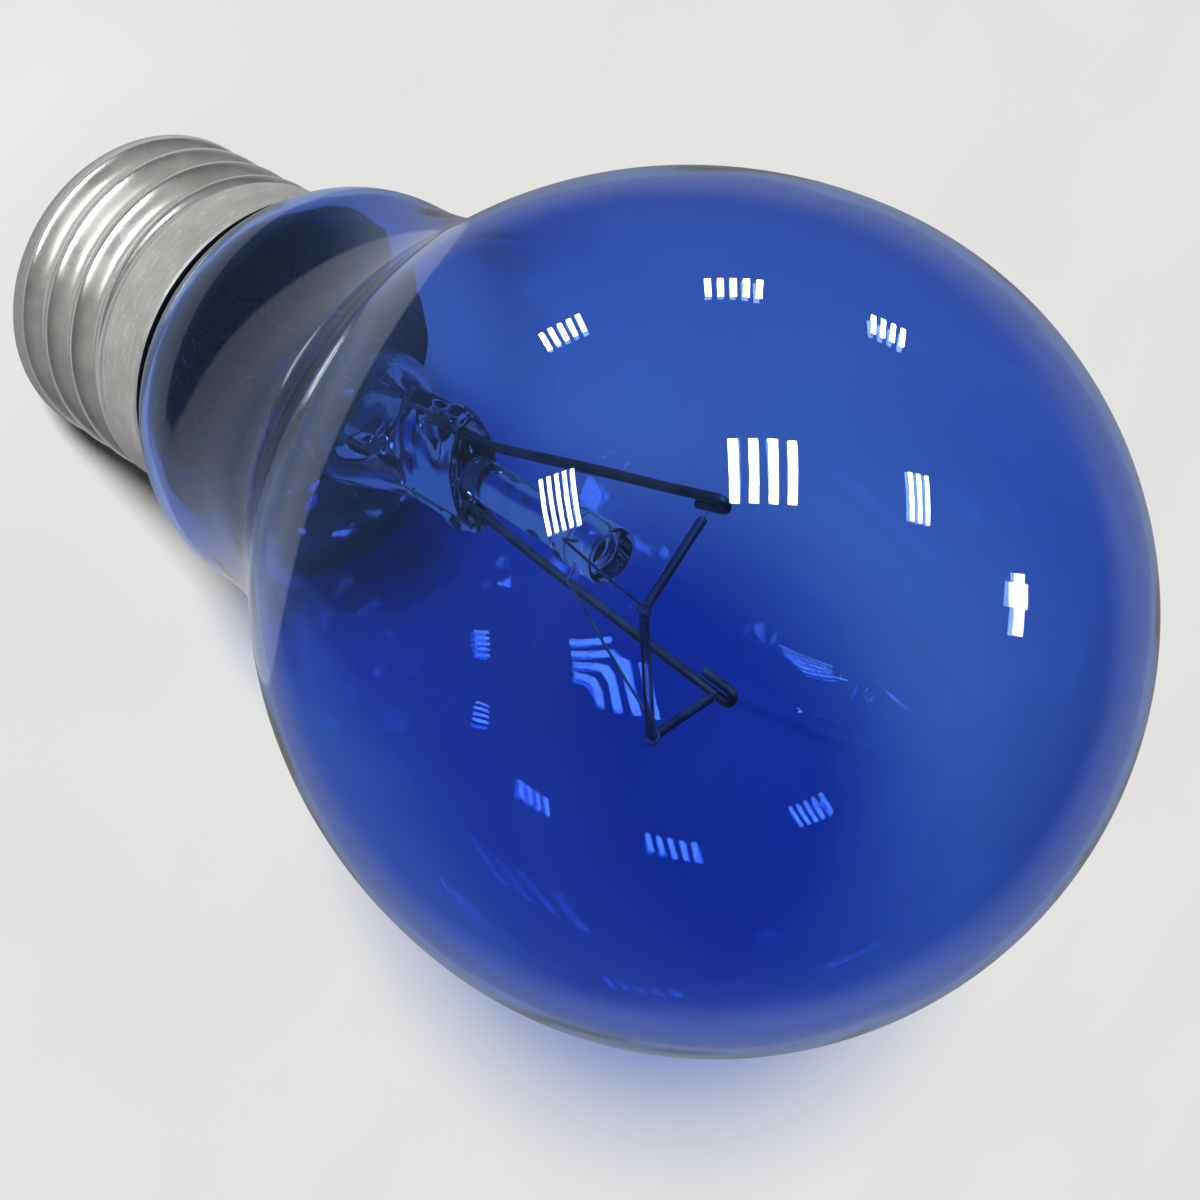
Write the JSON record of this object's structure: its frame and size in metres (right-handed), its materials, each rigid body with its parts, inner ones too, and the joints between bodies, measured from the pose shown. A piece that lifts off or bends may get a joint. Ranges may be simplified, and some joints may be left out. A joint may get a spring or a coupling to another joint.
{
  "type": "daylight bulb",
  "caption": "Blue glass screw-cap light bulb with its stem, leads, hooked supports and coiled filament inside.",
  "frame": {"origin": "the face of the centre contact, on the axis of the cap", "axes": "+Z along the bulb's axis from the cap to the crown of the globe; +X towards the end of the first lead"},
  "size_m": [0.06, 0.06, 0.1052],
  "materials": {
    "blue_glass": "clear blue glass, smooth and glossy",
    "clear_glass": "clear glass, flame polished",
    "lead_metal": "dull oxidised nickel wire",
    "copper_clad": "drawn copper-clad wire",
    "support_metal": "fine drawn wire",
    "tungsten": "coiled wire, dark grey",
    "cap_metal": "rolled sheet, dull silver with light scuffs",
    "black_glass": "opaque black moulded glass",
    "contact_brass": "stamped plate",
    "solder": "dull solder",
    "cement": "dark baked cement"
  },
  "bodies": {
    "root": {"envelope": "blue_glass", "stem_flare": "clear_glass", "exhaust_tube": "clear_glass", "arbor_rod": "clear_glass", "inner_lead_a": "lead_metal", "inner_lead_b": "lead_metal", "seal_wire_a": "copper_clad", "seal_wire_b": "copper_clad", "fuse_wire": "lead_metal", "outer_lead_centre": "copper_clad", "outer_lead_side": "copper_clad", "support_wire_a": "support_metal", "support_wire_b": "support_metal", "filament": "tungsten", "cap_shell": "cap_metal", "cap_insulator": "black_glass", "centre_contact": "contact_brass", "centre_solder": "solder", "side_solder": "solder", "basing_cement": "cement"}
  },
  "joints": []
}
